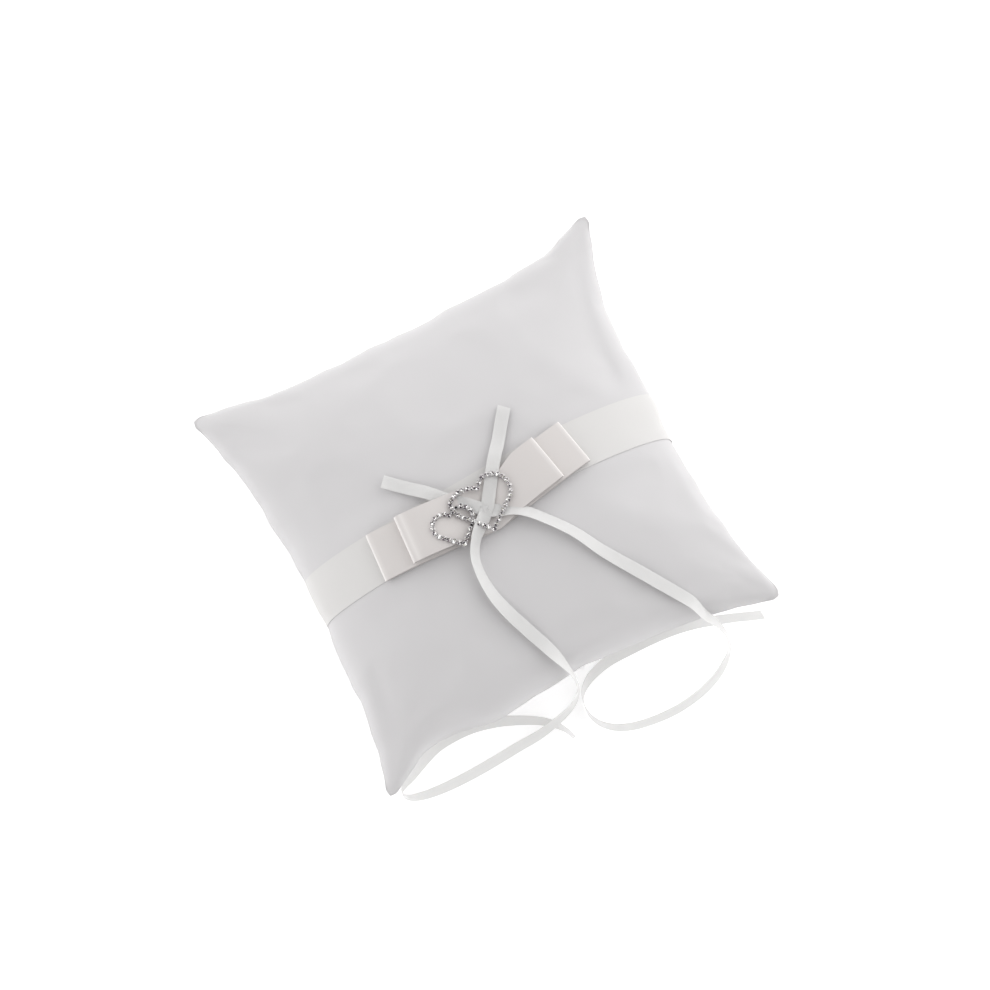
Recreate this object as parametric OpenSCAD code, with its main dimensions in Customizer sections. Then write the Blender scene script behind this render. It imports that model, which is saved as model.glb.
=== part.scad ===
// Ring bearer pillow: a square satin cushion, a ribbon band round its middle, a flat bow of two
// tiers, two ring ribbons tacked at their crossing, and a double-heart brooch of rhinestones.
// Millimetres, +Z up, +X along the band, -Y towards the long ribbon tails.
// The origin is on the table, under the middle of the cushion.

/* [Cushion] */
// Distance between neighbouring corner tips
side = 200; // [190:1:210]
// Height of the crown above the table
crown_h = 62; // [58:1:66]
// Height of the edge seam above the table
seam_h = 26; // [24:0.5:28]
// How far the middle of each side pulls in
side_pull = 11; // [9:0.5:13]
// Thickness of the lined satin cover
cover_t = 1; // [0.8:0.1:1.4]

/* [Band and bow] */
// Width of the wide satin ribbon
wide_w = 23; // [20:0.5:25]
// Thickness of the wide satin ribbon
wide_t = 0.4; // [0.3:0.05:0.4]
// Distance of the band's centreline from the cushion's middle
band_y = -4; // [-6:0.5:0]
// Length of the left outer loop
left_outer = 55; // [50:1:58]
// Length of the right outer loop
right_outer = 51; // [48:1:55]
// Length of the left inner loop
left_inner = 40.7; // [36:0.1:44]
// Length of the right inner loop
right_inner = 36; // [32:1:40]
// How high each loop springs at its fold
loop_rise = 1.8; // [1.4:0.1:2]

/* [Ring ribbons] */
// Width of the narrow ribbon
narrow_w = 6; // [5:0.5:6]
// Thickness of the narrow ribbon
narrow_t = 0.4; // [0.3:0.05:0.4]

/* [Brooch] */
// Width of the large heart along the middle of its chain
large_heart_w = 28.3; // [27:0.1:29]
// Width of the small heart along the middle of its chain
small_heart_w = 19.4; // [18.5:0.1:20]
// Width of the chain of settings
chain_w = 2.4; // [2.2:0.1:2.6]
// Diameter of one stone
stone_d = 2.1; // [1.9:0.1:2.2]

/* [Hidden] */

half = side / 2;
front_rise = crown_h - seam_h;
back_drop = seam_h + 4;       // the lowest 4 mm is pressed flat by the table
swell_in = 2.6;               // how flat the crown is in its middle
swell_out = 0.55;             // how steeply it falls to the seam
pull_power = 4;               // keeps the pull of a side away from its corners
tip_round = 1.3;              // how much the corner tips are blunted
cells = 28;                   // cells across each fabric panel
gap = 0.15;                   // clearance between layers of fabric
thread_d = 0.3;
thread_inset = 2.2;           // the seam's thread runs inside the cover
filling_inset = 3;
filling_edge = 0.3;           // half the height of the filling's thin edge
closing_span = 0.3;           // share of the half side left open for the filling
closing_count = 15;

// The cover is pressed in under the band, so that the cushion stands on its own satin.
band_clear = thread_d;        // height of the band above the table
groove_h = band_clear + wide_t + gap;
groove_half = wide_w / 2 + 0.8;
groove_ramp = 2;

bow_x = -6;
bow_y = -10.5;
left_turn = 176;              // direction of the left loops, seen from above
right_turn = 11.5;
pinched = wide_t + 0.1;       // distance between the two plies of a loop at its root
band_top = gap + wide_t;      // these heights are above the crown
bow_clear = 0.4;              // the bow lies loosely on the band
outer_lift = band_top + bow_clear + wide_t / 2;
tier_step = pinched + gap + wide_t;
bow_top = outer_lift + tier_step + pinched + wide_t / 2;
ribbon_1_lift = bow_top + thread_d + 2 * gap + narrow_t / 2;
ribbon_2_lift = ribbon_1_lift + narrow_t + 0.1;
brooch_z = crown_h + ribbon_2_lift + narrow_t / 2 + gap;

tack = [-7, -12];
frame_h = 1;
claw_h = 0.8;
claw_d = 0.45;
girdle_h = 0.3;
stone_crown_h = 0.6;
stone_table = 0.55;           // width of a stone's flat top, as a share of its diameter
large_heart_at = [-6.7, -4.9];
large_heart_turn = -5;
small_heart_at = [-23.2, -10.2];
lobe = 0.565;                 // radius of a heart's lobe, as a share of its half width
heart_tall = 1.75;            // height of a heart, as a share of its half width
large_count = 17;             // stones along half a heart
small_count = 12;
sewn_large = [3, 13];         // settings next to which a thread crosses the chain
sewn_small = [8];

// Routes of the ring ribbons: x, y, z and turn at each point.
// At turn 0 the ribbon lies flat, at 90 it stands on edge, and past 90 it leans the other way.
ribbon_1_short = [
    [-7.6, -11.4, 65.7, 0], [-10, -9, 65.7, 0], [-14, -5, 65.8, 0], [-18, -1.5, 65.9, 0],
    [-22, 2.5, 65.8, 0], [-27, 8, 64.4, 0], [-32, 13, 62.5, 0], [-37, 18, 61.3, 0], [-42, 23, 60.4, 0]
];
ribbon_2_short = [
    [-6.6, -11.4, 66.2, 0], [-4.5, -8.5, 66.2, 0], [-1.5, -4.5, 66.2, 0], [1, -1, 66.2, 0],
    [4, 3, 66.1, 0], [8, 8.5, 65.6, 0], [13, 15, 63.4, 0], [18, 22, 62.4, 0], [23, 28.5, 61.8, 0]
];
ribbon_1_long = [
    [-6.4, -12.4, 65.7, 0], [-2, -14.5, 65.7, 8], [4, -17, 65.8, 20], [9, -21, 65.9, 27],
    [15, -27, 64, 30], [24, -38, 61.4, 28], [31.6, -50.8, 58, 18], [41.3, -64, 52.6, 4],
    [46.4, -70.6, 49.1, 4], [51.4, -77, 45.1, 6], [56.4, -83.3, 40.2, 10], [61.4, -89.2, 34.8, 24],
    [66, -96.2, 28.4, 48], [68.6, -103.5, 21, 66], [68, -108.5, 13.5, 70], [65, -112, 8.5, 68],
    [59.8, -115.5, 5.5, 64], [51.5, -118.8, 4, 62], [42.5, -120.8, 3.4, 62], [32.5, -121.6, 3.2, 62],
    [21.7, -120.9, 3.2, 65], [13, -119.2, 3.2, 67], [5.9, -116.2, 3.2, 71], [0.5, -111.5, 3.2, 78],
    [-2.2, -106, 3.2, 86], [-2.4, -100.3, 3.2, 94], [-0.3, -94.8, 3.2, 106], [4, -91, 3.1, 120],
    [10.4, -88.2, 2.8, 132], [18.4, -86.6, 2.6, 137], [28, -86.4, 2.4, 137], [39.7, -86.6, 2.4, 136],
    [50, -87.4, 2.4, 134], [60, -89.4, 2.6, 128], [69.7, -92.4, 2.8, 123], [79, -95.7, 3, 120],
    [90.7, -100.4, 3, 118]
];
ribbon_2_long = [
    [-7.6, -12.6, 66.2, 0], [-12, -16.5, 66.2, 22], [-17.3, -21.5, 65.9, 44], [-21, -27.5, 64.3, 46],
    [-22.5, -35, 62.4, 42], [-22, -46, 60, 28], [-18.6, -58, 56.4, 8], [-16, -64, 54, 4],
    [-13.9, -69, 51.9, 0], [-11.3, -74.5, 49.3, 6], [-8.8, -80, 46.5, 18], [-5, -88.5, 39, 55],
    [-4, -94.5, 31, 72], [-5.5, -97.8, 22, 76], [-10, -100.3, 13.5, 72], [-18.5, -102.2, 8.6, 62],
    [-28, -103.3, 5.2, 54], [-37, -103.5, 3.9, 50], [-50, -104.3, 3.2, 48], [-59, -104.8, 3.2, 48],
    [-70, -105, 3.2, 50], [-81.5, -104.4, 3.2, 56], [-89.5, -103, 3.2, 66], [-94.3, -100.8, 3.2, 80],
    [-95.4, -97.8, 3.2, 94], [-92.8, -95.4, 3.2, 108], [-87.5, -93, 2.9, 122], [-81.5, -89.9, 2.5, 134],
    [-71.7, -86.2, 2.4, 138], [-61.7, -85.2, 2.4, 138], [-52.4, -85.7, 2.4, 137], [-44, -87.6, 2.4, 136],
    [-38.6, -89.5, 2.5, 132], [-28.5, -94.4, 2.7, 122], [-22, -98.6, 2.8, 116], [-17, -103.8, 3, 106],
    [-14.8, -107.5, 3.2, 98], [-13.5, -111.5, 3.2, 95]
];

// ---------- shape of the cushion ----------

function pull(t) = 1 - pow(abs(t), pull_power);
function across(u, v, inset) =
    u * (half + tip_round - inset - side_pull * pull(v)) - tip_round * sign(u) * pow(abs(u * v), 12);

// The sides aren't drawn in evenly: place along the side, reach and amount of each change.
near_changes = [[-0.74, 0.22, 5.2], [-0.42, 0.12, -2.6], [0.06, 0.2, 1.4], [0.72, 0.14, -1.4]];
far_changes = [[0.8, 0.15, -1.6]];
left_changes = [[-0.5, 0.5, -3.4], [0.6, 0.4, -2.8]];
right_changes = [[-0.3, 0.35, -1.9], [0.5, 0.15, -1.3]];
function changed(along, changes) =
    [for (c = changes) c[2] * exp(-pow((along - c[0]) / c[1], 2))] * [for (c = changes) 1];
function change_x(u, v) =
    pow(abs(u), 4) * (1 - pow(abs(v), 6)) * changed(v, u < 0 ? left_changes : right_changes);
function across_x(u, v, inset) = across(u, v, inset) + change_x(u, v);
function across_y(v, u, inset) =
    across(v, u, inset) + pow(abs(v), 4) * changed(u, v < 0 ? near_changes : far_changes);

function swell(u, v) = pow((1 - pow(abs(u), swell_in)) * (1 - pow(abs(v), swell_in)), swell_out);
function front_z(u, v, inset) = seam_h + (front_rise - inset) * swell(u, v);
function back_z(u, v, inset, floor_h) = max(floor_h, seam_h - (back_drop - inset) * swell(u, v));

// Lines of the panel grid, closer together towards the seam
grid = [for (i = [0 : cells]) sin(90 * (2 * i / cells - 1))];

// The back panel has extra lines along both edges of the groove under the band.
groove_lines = [
    for (d = [-groove_half - groove_ramp, -groove_half, 0, groove_half, groove_half + groove_ramp])
    (band_y + d) / (half + tip_round - side_pull)
];
back_grid = concat(
    [for (t = grid) if (t < groove_lines[0] - 0.02) t],
    groove_lines,
    [for (t = grid) if (t > groove_lines[4] + 0.02) t]
);
function groove(y) =
    groove_h * max(0, min(1, (groove_half + groove_ramp - abs(y - band_y)) / groove_ramp));

function front_points(inset) =
    [for (u = grid) for (v = grid) [across_x(u, v, inset), across_y(v, u, inset), front_z(u, v, inset)]];
function back_points(inset, floor_h) = [
    for (u = grid) for (v = back_grid)
    let (y = across_y(v, u, 0))
    [across_x(u, v, inset), across_y(v, u, inset), back_z(u, v, inset, floor_h + groove(y))]
];

// The same face on the lower grid, seen from below
function under(face, n) = [n + face[2], n + face[1], n + face[0]];

// A closed slab between an upper and a lower grid of points with the same lines
module slab(top, bottom, nu, nv) {
    n = nu * nv;
    // Each cell is split along the diagonal that points at the nearest corner of the panel.
    cell_faces = [
        for (i = [0 : nu - 2]) for (j = [0 : nv - 2])
        let (
            a = i * nv + j,
            b = a + nv,
            c = b + 1,
            d = a + 1,
            flip = (i < (nu - 1) / 2) != (j < (nv - 1) / 2),
            halves = flip ? [[a, d, b], [d, c, b]] : [[a, d, c], [a, c, b]]
        )
        each [halves[0], halves[1], under(halves[0], n), under(halves[1], n)]
    ];
    rim = concat(
        [for (i = [0 : nu - 2]) i * nv],
        [for (j = [0 : nv - 2]) (nu - 1) * nv + j],
        [for (i = [nu - 1 : -1 : 1]) i * nv + nv - 1],
        [for (j = [nv - 1 : -1 : 1]) j]
    );
    count = len(rim);
    rim_faces = [
        for (k = [0 : count - 1])
        let (a = rim[k], b = rim[(k + 1) % count])
        each [[a, b, n + b], [a, n + b, n + a]]
    ];
    polyhedron(points = concat(top, bottom), faces = concat(cell_faces, rim_faces), convexity = 4);
}

module front_cover() {
    color([0.86, 0.85, 0.85])
    slab(front_points(0), front_points(cover_t), len(grid), len(grid));
}

module back_cover() {
    color([0.84, 0.83, 0.83])
    slab(back_points(cover_t, cover_t), back_points(0, 0), len(grid), len(back_grid));
}

// The filling's upper and lower grids share the finer lines of the back panel.
function filling_points(upper) = [
    for (u = grid) for (v = back_grid)
    let (
        inset = cover_t + gap,
        y = across_y(v, u, filling_inset),
        edge = filling_edge * pow(1 - swell(u, v), 4),
        low = back_z(u, v, inset, inset + groove(y)) - edge,
        high = front_z(u, v, inset) + edge
    )
    [across_x(u, v, filling_inset), across_y(v, u, filling_inset), upper ? high : low]
];

module fibre_filling() {
    color([0.95, 0.95, 0.95])
    slab(filling_points(true), filling_points(false), len(grid), len(back_grid));
}

// ---------- sweeps ----------

function unit(v) = v / norm(v);
function tangent(p, i) = unit(p[min(i + 1, len(p) - 1)] - p[max(i - 1, 0)]);

// Faces of a tube of rings with the given number of sides. From the side `turned` on, each quad is split
// along its other diagonal, which keeps the two faces of a twisted ribbon parallel.
function tube_faces(rings, sides, turned) = concat(
    [[for (s = [sides - 1 : -1 : 0]) s]],
    [
        for (i = [0 : rings - 2]) for (s = [0 : sides - 1])
        let (a = i * sides + s, b = i * sides + (s + 1) % sides)
        each s < turned
            ? [[a, b, b + sides], [a, b + sides, a + sides]]
            : [[a, b, a + sides], [b, b + sides, a + sides]]
    ],
    [[for (s = [0 : sides - 1]) (rings - 1) * sides + s]]
);

// Eight points round the section of a flat ribbon, as shares of half its width and thickness
ribbon_section = [[1, 0.4], [0.9, 1], [-0.9, 1], [-1, 0.4], [-1, -0.4], [-0.9, -1], [0.9, -1], [1, -0.4]];

// A flat ribbon along route points [x, y, z, turn]. At turn 0 it lies flat, and at 90 on edge.
module flat_ribbon(path) {
    spine = [for (p = path) [p.x, p.y, p.z]];
    points = [
        for (i = [0 : len(path) - 1])
        let (
            t = tangent(spine, i),
            side = unit(cross(t, [0, 0, 1])),
            up = cross(side, t),
            w = cos(path[i][3]) * side + sin(path[i][3]) * up,
            n = cross(w, t)
        )
        for (q = ribbon_section)
        spine[i] + w * q[0] * narrow_w / 2 + n * q[1] * narrow_t / 2
    ];
    polyhedron(points = points, faces = tube_faces(len(path), len(ribbon_section), 4), convexity = 8);
}

// A wire along points, with the given number of sides
module wire(points, sides = 8) {
    rings = [
        for (i = [0 : len(points) - 1])
        let (
            t = tangent(points, i),
            side = unit(cross(t, [0, 0, 1])),
            up = cross(side, t)
        )
        for (s = [0 : sides - 1])
        points[i] + thread_d / 2 * (cos(360 * s / sides) * side + sin(360 * s / sides) * up)
    ];
    polyhedron(points = rings, faces = tube_faces(len(points), sides, sides), convexity = 8);
}

// ---------- seams and stitches of the cushion ----------

function seam_point(u, v) = [across_x(u, v, thread_inset), across_y(v, u, thread_inset), seam_h];
line = [for (i = [0 : 16]) sin(90 * (i / 8 - 1))];

module seam_thread() {
    color([0.93, 0.93, 0.92])
    wire(concat(
        [for (i = [0 : 7]) seam_point(closing_span + (1 - closing_span) * i / 8, 1)],
        [for (i = [16 : -1 : 1]) seam_point(1, line[i])],
        [for (i = [16 : -1 : 1]) seam_point(line[i], -1)],
        [for (i = [0 : 15]) seam_point(-1, line[i])],
        [for (i = [0 : 8]) seam_point(-1 + (1 - closing_span) * i / 8, 1)]
    ));
}

module closing_stitches() {
    reach = closing_span - 0.02;
    color([0.93, 0.93, 0.92])
    for (i = [0 : closing_count - 1])
        translate(seam_point(reach * (2 * i / (closing_count - 1) - 1), 1))
            translate([0, 0, -0.6]) cylinder(d = thread_d, h = 1.2, $fn = 16);
}

// ---------- centre band ----------

// Across the cushion under the band, where each side stands out most within the band's width
function band_x(u) = across(u, 0, 0) + change_x(u, (band_y + sign(u) * wide_w / 2) / (half - side_pull));

// The cushion's section under the band, once round, from the left seam over the crown
section = concat(
    [for (u = grid) [band_x(u), front_z(u, 0, 0)]],
    [for (i = [len(grid) - 2 : -1 : 1]) [band_x(grid[i]), seam_h - back_drop * swell(grid[i], 0)]]
);
function ring_normal(p, i) =
    let (n = len(p), t = unit(p[(i + 1) % n] - p[(i + n - 1) % n])) [-t.y, t.x];
function band_ring(out, floor_h) = [
    for (i = [0 : len(section) - 1])
    let (p = section[i] + out * ring_normal(section, i))
    [p.x, max(floor_h, p.y)]
];

module centre_band() {
    outer = band_ring(gap + wide_t, band_clear);
    inner = band_ring(gap, band_clear + wide_t);
    n = len(section);
    color([0.9, 0.9, 0.89])
    translate([0, band_y + wide_w / 2, 0])
        rotate([90, 0, 0])
            linear_extrude(wide_w)
                polygon(
                    points = concat(outer, inner),
                    paths = [[for (i = [0 : n - 1]) i], [for (i = [0 : n - 1]) n + i]]
                );
}

// A row of stitches across the band's overlap, under the cushion
module band_stitches() {
    count = 6;
    pitch = wide_w / count;
    color([0.93, 0.93, 0.92])
    for (i = [0 : count - 1])
        translate([0, band_y + pitch * (i + 0.5 - count / 2) - pitch * 0.3, band_clear / 2])
            rotate([-90, 0, 0]) cylinder(d = band_clear - 0.02, h = pitch * 0.6, $fn = 16);
}

// ---------- bow ----------

mid = half + tip_round - side_pull;
function crown_z(x, y) = front_z(x / mid, y / mid, 0);
function ease(t) = let (k = max(0, min(1, t))) k * k * (3 - 2 * k);
function spread(s, length) = pinched + (loop_rise - pinched) * ease(s / (length - loop_rise / 2));

// Height of a tier's lower ply above the crown. The inner tier rides on the outer one.
function tier_lift(s, outer_length, inner) =
    outer_lift + (inner ? spread(s, outer_length) + gap + wide_t : 0);

// One half of a tier from its root out along the lower ply, round the fold and back
function half_tier(length, outer_length, turn, inner) =
    let (
        r = loop_rise / 2,
        reach = length - r,
        steps = 12,
        run = [for (i = [0 : steps]) reach * i / steps],
        low = [for (s = run) [s, tier_lift(s, outer_length, inner)]],
        top = [for (s = run) [s, tier_lift(s, outer_length, inner) + spread(s, length)]],
        fold = [
            for (a = [-60 : 30 : 60])
            [reach + r * cos(a), tier_lift(reach, outer_length, inner) + r + r * sin(a)]
        ],
        half_path = concat(low, fold, [for (i = [steps : -1 : 0]) top[i]])
    )
    [
        for (q = half_path)
        let (x = bow_x + q[0] * cos(turn), y = bow_y + q[0] * sin(turn))
        [x, y, crown_z(x, y) + q[1], turn]
    ];

// A ribbon ring along path points [x, y, z, turn], lying across the direction of the turn
module ribbon_ring(path) {
    n = len(path);
    points = [
        for (i = [0 : n - 1])
        let (
            p = [path[i].x, path[i].y, path[i].z],
            before = path[(i + n - 1) % n],
            after = path[(i + 1) % n],
            t = unit([after.x - before.x, after.y - before.y, after.z - before.z]),
            w = [-sin(path[i][3]), cos(path[i][3]), 0],
            k = unit(cross(t, w))
        )
        for (q = [[1, 1], [-1, 1], [-1, -1], [1, -1]])
        p + w * q[0] * wide_w / 2 + k * q[1] * wide_t / 2
    ];
    faces = [
        for (i = [0 : n - 1]) for (s = [0 : 3])
        let (j = (i + 1) % n, a = 4 * i + s, b = 4 * i + (s + 1) % 4, c = 4 * j + (s + 1) % 4, d = 4 * j + s)
        each [[a, c, b], [a, d, c]]
    ];
    polyhedron(points = points, faces = faces, convexity = 6);
}

// The left half turns about the same way across as the right one, so its turn is taken half a turn on.
function tier_path(left, right, inner) =
    let (
        right_half = half_tier(right, right_outer, right_turn, inner),
        left_half = half_tier(left, left_outer, left_turn, inner),
        last = len(right_half) - 1,
        left_across = left_turn - 180,
        middle = (left_across + right_turn) / 2
    )
    concat(
        [[bow_x, bow_y, right_half[0].z, middle]],
        [for (i = [1 : last - 1]) right_half[i]],
        [[bow_x, bow_y, right_half[last].z, middle]],
        [for (i = [last - 1 : -1 : 1]) let (p = left_half[i]) [p.x, p.y, p.z, left_across]]
    );

module bow_outer_loops() {
    color([0.87, 0.84, 0.82]) ribbon_ring(tier_path(left_outer, right_outer, false));
}

module bow_inner_loops() {
    color([0.89, 0.86, 0.84]) ribbon_ring(tier_path(left_inner, right_inner, true));
}

module bow_stitches() {
    color([0.93, 0.93, 0.92])
    for (dx = [-2, 0, 2])
        translate([bow_x + dx, bow_y - 4, crown_h + bow_top + gap + thread_d / 2])
            rotate([-90, 0, 0]) cylinder(d = thread_d, h = 8, $fn = 16);
}

// ---------- ring ribbons ----------

module ring_ribbon_1_short_tail() { color([0.93, 0.92, 0.92]) flat_ribbon(ribbon_1_short); }
module ring_ribbon_2_short_tail() { color([0.93, 0.92, 0.92]) flat_ribbon(ribbon_2_short); }
module ring_ribbon_1_long_tail() { color([0.95, 0.95, 0.94]) flat_ribbon(ribbon_1_long); }
module ring_ribbon_2_long_tail() { color([0.95, 0.95, 0.94]) flat_ribbon(ribbon_2_long); }

module ribbon_tack_stitches() {
    color([0.93, 0.93, 0.92])
    for (d = [-1, 1])
        translate([tack.x + d, tack.y - 1.5, crown_h + ribbon_2_lift + narrow_t / 2 + gap + thread_d / 2])
            rotate([-90, 0, 0]) cylinder(d = thread_d, h = 3, $fn = 16);
}

// ---------- brooch ----------

// A heart is two lobes whose circles meet at the notch, and two straight sides to the tip.
// Its own origin is midway between the centres of the lobes.
function lobe_r(half_w) = lobe * half_w;
function lobe_x(half_w) = half_w - lobe_r(half_w);
function tip_drop(half_w) = heart_tall * half_w - lobe_r(half_w);
function notch_angle(half_w, r) = 180 - acos(lobe_x(half_w) / r);
function side_angle(half_w) =
    let (c = lobe_x(half_w), h = tip_drop(half_w))
    acos(lobe_r(half_w) / norm([c, h])) - 180 + atan(h / c);

// Outline of a heart grown outward by the given amount
function heart_outline(half_w, grow) =
    let (
        c = lobe_x(half_w),
        r = lobe_r(half_w) + grow,
        from = notch_angle(half_w, r),
        to = side_angle(half_w),
        steps = 20,
        right = [
            for (i = [1 : steps])
            let (a = from + (to - from) * i / steps)
            [c + r * cos(a), r * sin(a)]
        ]
    )
    concat(
        [[0, r * sin(from)]],
        right,
        [[0, (r + c * cos(to)) / sin(to)]],
        [for (i = [steps - 1 : -1 : 0]) [-right[i].x, right[i].y]]
    );

// Place [x, y, angle across the chain] at a distance from the notch along the right half
function along_heart(half_w, distance) =
    let (
        r = lobe_r(half_w),
        c = lobe_x(half_w),
        from = notch_angle(half_w, r),
        to = side_angle(half_w),
        arc_length = r * (from - to) * PI / 180,
        a = max(to, from - distance / r * 180 / PI),
        rest = max(0, distance - arc_length)
    )
    [c + r * cos(a) + rest * sin(a), r * sin(a) - rest * cos(a), a];
function half_length(half_w) =
    let (r = lobe_r(half_w), c = lobe_x(half_w), h = tip_drop(half_w))
    r * (notch_angle(half_w, r) - side_angle(half_w)) * PI / 180 + sqrt(c * c + h * h - r * r);

// Centres of all stones of a heart, each side's and the ones at the notch and the tip
function stone_places(half_w, count) =
    let (pitch = half_length(half_w) / count)
    concat(
        [for (k = [0 : count]) let (p = along_heart(half_w, k * pitch)) [p.x, p.y]],
        [for (k = [1 : count - 1]) let (p = along_heart(half_w, k * pitch)) [-p.x, p.y]]
    );
function turned(p, at, turn) =
    at + [p.x * cos(turn) - p.y * sin(turn), p.x * sin(turn) + p.y * cos(turn)];

large_stones = [
    for (p = stone_places(large_heart_w / 2, large_count)) turned(p, large_heart_at, large_heart_turn)
];
// Stones of the small heart are left out where the large heart's chain crosses over.
small_stones = [
    for (p = stone_places(small_heart_w / 2, small_count))
    let (q = turned(p, small_heart_at, 0))
    if (min([for (s = large_stones) norm(s - q)]) > stone_d + 0.1) q
];

module stone() {
    cylinder(d = stone_d, h = girdle_h, $fn = 24);
    translate([0, 0, girdle_h])
        cylinder(d1 = stone_d, d2 = stone_d * stone_table, h = stone_crown_h, $fn = 24);
}

module stones(places) {
    for (p = places)
        translate([p.x, p.y, brooch_z + frame_h]) stone();
}

module large_heart_stones() { color([0.85, 0.88, 0.92]) stones(large_stones); }
module small_heart_stones() { color([0.85, 0.88, 0.92]) stones(small_stones); }

module chain(half_w) {
    linear_extrude(frame_h)
        difference() {
            polygon(heart_outline(half_w, chain_w / 2));
            polygon(heart_outline(half_w, -chain_w / 2));
        }
}

// Puts its children beside a setting, on both halves of a heart, with +X across the chain
module between_settings(half_w, count, k) {
    p = along_heart(half_w, (k + 0.5) * half_length(half_w) / count);
    for (m = [0, 1])
        mirror([m, 0, 0]) translate([p.x, p.y, 0]) rotate([0, 0, p[2]]) children();
}

module claws(half_w, count, sewn) {
    for (k = [0 : count - 1])
        if (len([for (s = sewn) if (s == k) s]) == 0)
            between_settings(half_w, count, k)
                for (side = [-1, 1])
                    translate([side * (chain_w / 2 - claw_d / 2), 0, 0])
                        cylinder(d = claw_d, h = frame_h + claw_h, $fn = 16);
}

module brooch_frame() {
    color([0.75, 0.75, 0.77])
    translate([0, 0, brooch_z])
        union() {
            translate(large_heart_at) rotate([0, 0, large_heart_turn]) {
                chain(large_heart_w / 2);
                claws(large_heart_w / 2, large_count, sewn_large);
            }
            translate(small_heart_at) chain(small_heart_w / 2);
        }
}

module sewing_loop() {
    rotate([90, 0, 0])
        rotate_extrude(angle = 180, $fn = 32)
            translate([chain_w / 2 + thread_d / 2 + 0.1, 0]) circle(d = thread_d, $fn = 16);
}

module brooch_sewing_loops() {
    color([0.93, 0.93, 0.92])
    translate([0, 0, brooch_z]) {
        translate(large_heart_at) rotate([0, 0, large_heart_turn])
            for (k = sewn_large) between_settings(large_heart_w / 2, large_count, k) sewing_loop();
        translate(small_heart_at)
            for (k = sewn_small) between_settings(small_heart_w / 2, small_count, k) sewing_loop();
    }
}

front_cover();
back_cover();
fibre_filling();
seam_thread();
closing_stitches();
centre_band();
band_stitches();
bow_outer_loops();
bow_inner_loops();
bow_stitches();
ring_ribbon_1_short_tail();
ring_ribbon_1_long_tail();
ring_ribbon_2_short_tail();
ring_ribbon_2_long_tail();
ribbon_tack_stitches();
brooch_frame();
large_heart_stones();
small_heart_stones();
brooch_sewing_loops();
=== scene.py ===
import math

import bpy
import numpy as np
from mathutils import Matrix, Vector
from mathutils.bvhtree import BVHTree


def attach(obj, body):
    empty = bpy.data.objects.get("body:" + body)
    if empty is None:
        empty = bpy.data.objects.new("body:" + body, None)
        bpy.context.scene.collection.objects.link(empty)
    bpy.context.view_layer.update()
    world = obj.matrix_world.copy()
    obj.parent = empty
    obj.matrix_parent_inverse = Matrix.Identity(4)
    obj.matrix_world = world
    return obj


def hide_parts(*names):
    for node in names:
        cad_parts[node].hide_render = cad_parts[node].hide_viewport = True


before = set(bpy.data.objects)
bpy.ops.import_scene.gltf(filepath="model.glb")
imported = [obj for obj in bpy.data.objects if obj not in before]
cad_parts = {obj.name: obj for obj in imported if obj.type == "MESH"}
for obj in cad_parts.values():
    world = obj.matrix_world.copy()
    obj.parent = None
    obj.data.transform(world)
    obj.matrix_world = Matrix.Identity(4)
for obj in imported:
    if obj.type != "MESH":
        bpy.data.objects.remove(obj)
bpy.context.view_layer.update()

# Shapes are worked out in millimetres, in the frame of the CAD model, and become metres in add_mesh.
MM = 0.001
rng = np.random.default_rng(11)
scene = bpy.context.scene


def unit(v):
    v = np.asarray(v, float)
    return v / np.maximum(np.linalg.norm(v, axis=-1, keepdims=True), 1e-12)


def ease(t):
    k = np.clip(t, 0, 1)
    return k * k * (3 - 2 * k)


def lerp(a, b, t):
    return a + (b - a) * t


# ---- camera

VIEW_AZIMUTH = math.radians(-27.5)
VIEW_ELEVATION = math.radians(75)
VIEW_DISTANCE = 2.2
back = Vector((
    math.sin(VIEW_AZIMUTH) * math.cos(VIEW_ELEVATION),
    -math.cos(VIEW_AZIMUTH) * math.cos(VIEW_ELEVATION),
    math.sin(VIEW_ELEVATION),
))
right = Vector((math.cos(VIEW_AZIMUTH), math.sin(VIEW_AZIMUTH), 0))
up = back.cross(right)
aim = Vector((0, 0, 0.026)) + right * 0.0031 + up * 0.0038
camera_data = bpy.data.cameras.new("camera")
camera_data.lens = 174.1
camera_data.sensor_width = 36
camera_data.clip_end = 50
camera = bpy.data.objects.new("camera", camera_data)
scene.collection.objects.link(camera)
camera.location = aim + back * VIEW_DISTANCE
camera.rotation_euler = back.to_track_quat("Z", "Y").to_euler()
scene.camera = camera


# ---- meshes

def add_mesh(name, points, faces, material=None, uvs=None, sharp=40):
    """A mesh object from points in millimetres. uvs gives a pair for each point."""
    mesh = bpy.data.meshes.new(name)
    mesh.from_pydata((np.asarray(points, float) * MM).tolist(), [], faces)
    mesh.update()
    mesh.shade_smooth()
    if sharp:
        mesh.set_sharp_from_angle(angle=math.radians(sharp))
    if uvs is not None:
        layer = mesh.uv_layers.new(name="Strip")
        corner = np.zeros(len(mesh.loops), np.int32)
        mesh.loops.foreach_get("vertex_index", corner)
        layer.data.foreach_set("uv", np.asarray(uvs, np.float32)[corner].ravel())
    piece = bpy.data.objects.new(name, mesh)
    scene.collection.objects.link(piece)
    if material:
        mesh.materials.append(material)
    return piece


def grid_faces(rows, cols, closed_rows=False, start=0, flip=False):
    faces = []
    for i in range(rows if closed_rows else rows - 1):
        for j in range(cols - 1):
            a = start + i * cols + j
            b = start + ((i + 1) % rows) * cols + j
            face = (a, b, b + 1, a + 1)
            faces.append(face[::-1] if flip else face)
    return faces


def grid_normals(grid, closed=False):
    if closed:
        along = np.roll(grid, -1, 0) - np.roll(grid, 1, 0)
    else:
        along = np.gradient(grid, axis=0)
    return unit(np.cross(along, np.gradient(grid, axis=1)))


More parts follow.
